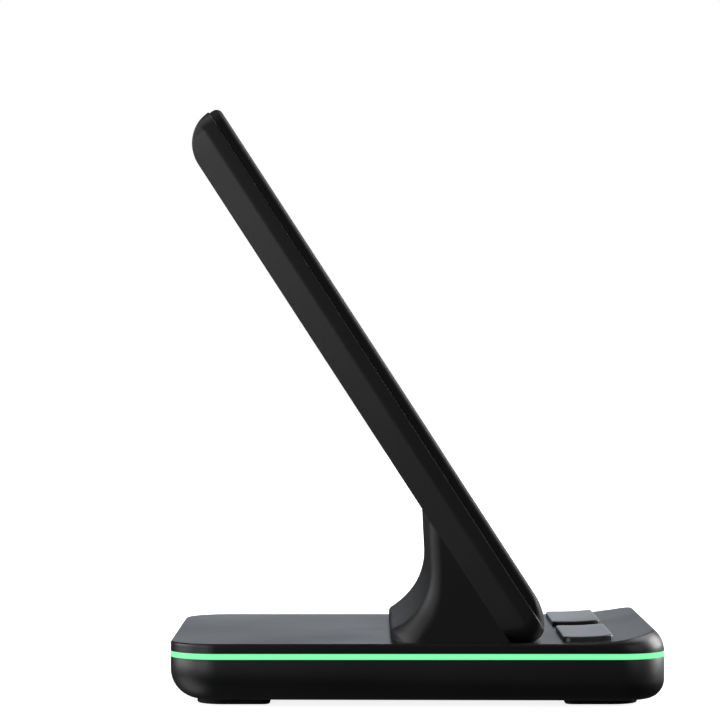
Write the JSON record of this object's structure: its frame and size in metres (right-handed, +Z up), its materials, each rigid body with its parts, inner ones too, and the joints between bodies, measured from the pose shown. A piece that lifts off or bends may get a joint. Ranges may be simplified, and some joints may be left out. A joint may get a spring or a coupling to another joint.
{
  "type": "wireless charging station",
  "caption": "Free-standing wireless charging station: rounded base with a lit edge strip, flared column and leaning charging panel with a recessed round puck and a strap slot.",
  "frame": {"origin": "on the table under the middle of the base", "axes": "+Z up, +X to the front where a handset leans, +Y to the stand's left"},
  "size_m": [0.11, 0.084, 0.1324],
  "materials": {
    "shell_plastic": "fine moulded texture",
    "cover_plastic": "fine moulded texture",
    "column_plastic": "fine moulded texture",
    "panel_rear_plastic": "fine moulded texture",
    "panel_front_plastic": "smooth, softly glossy",
    "light_guide": "lit translucent light guide",
    "foot_rubber": "matt",
    "pad_silicone": "satin",
    "screw_steel": "zinc plated",
    "circuit_board": "solder mask",
    "strip_film": "flexible circuit film",
    "lamp_lens": "clear lens",
    "socket_steel": "drawn steel",
    "coil_copper": "enamelled copper wire",
    "ferrite_sheet": "sintered",
    "holder_plastic": "plain moulding",
    "wire_jacket": "jacketed bundle",
    "puck_plastic": "satin",
    "puck_face_plastic": "smooth, slightly dished",
    "magnet_nickel": "nickel plated"
  },
  "bodies": {
    "root": {"bottom_shell": "shell_plastic", "top_cover": "cover_plastic", "column": "column_plastic", "panel_rear_shell": "panel_rear_plastic", "panel_front_cover": "panel_front_plastic", "light_ring": "light_guide", "foot_rear_left": "foot_rubber", "foot_rear_right": "foot_rubber", "foot_front_left": "foot_rubber", "foot_front_right": "foot_rubber", "rest_pad_left": "pad_silicone", "rest_pad_right": "pad_silicone", "base_screws": "screw_steel", "column_screws": "screw_steel", "panel_screws": "screw_steel", "main_board": "circuit_board", "panel_board": "circuit_board", "led_strip": "strip_film", "led_lamps": "lamp_lens", "usb_c_socket": "socket_steel", "base_coil": "coil_copper", "panel_coil": "coil_copper", "puck_coil": "coil_copper", "base_coil_ferrite": "ferrite_sheet", "panel_coil_ferrite": "ferrite_sheet", "puck_ferrite": "ferrite_sheet", "base_coil_holder": "holder_plastic", "panel_coil_holder": "holder_plastic", "stand_harness": "wire_jacket", "puck_housing": "puck_plastic", "puck_face": "puck_face_plastic", "puck_magnet": "magnet_nickel"}
  },
  "joints": []
}
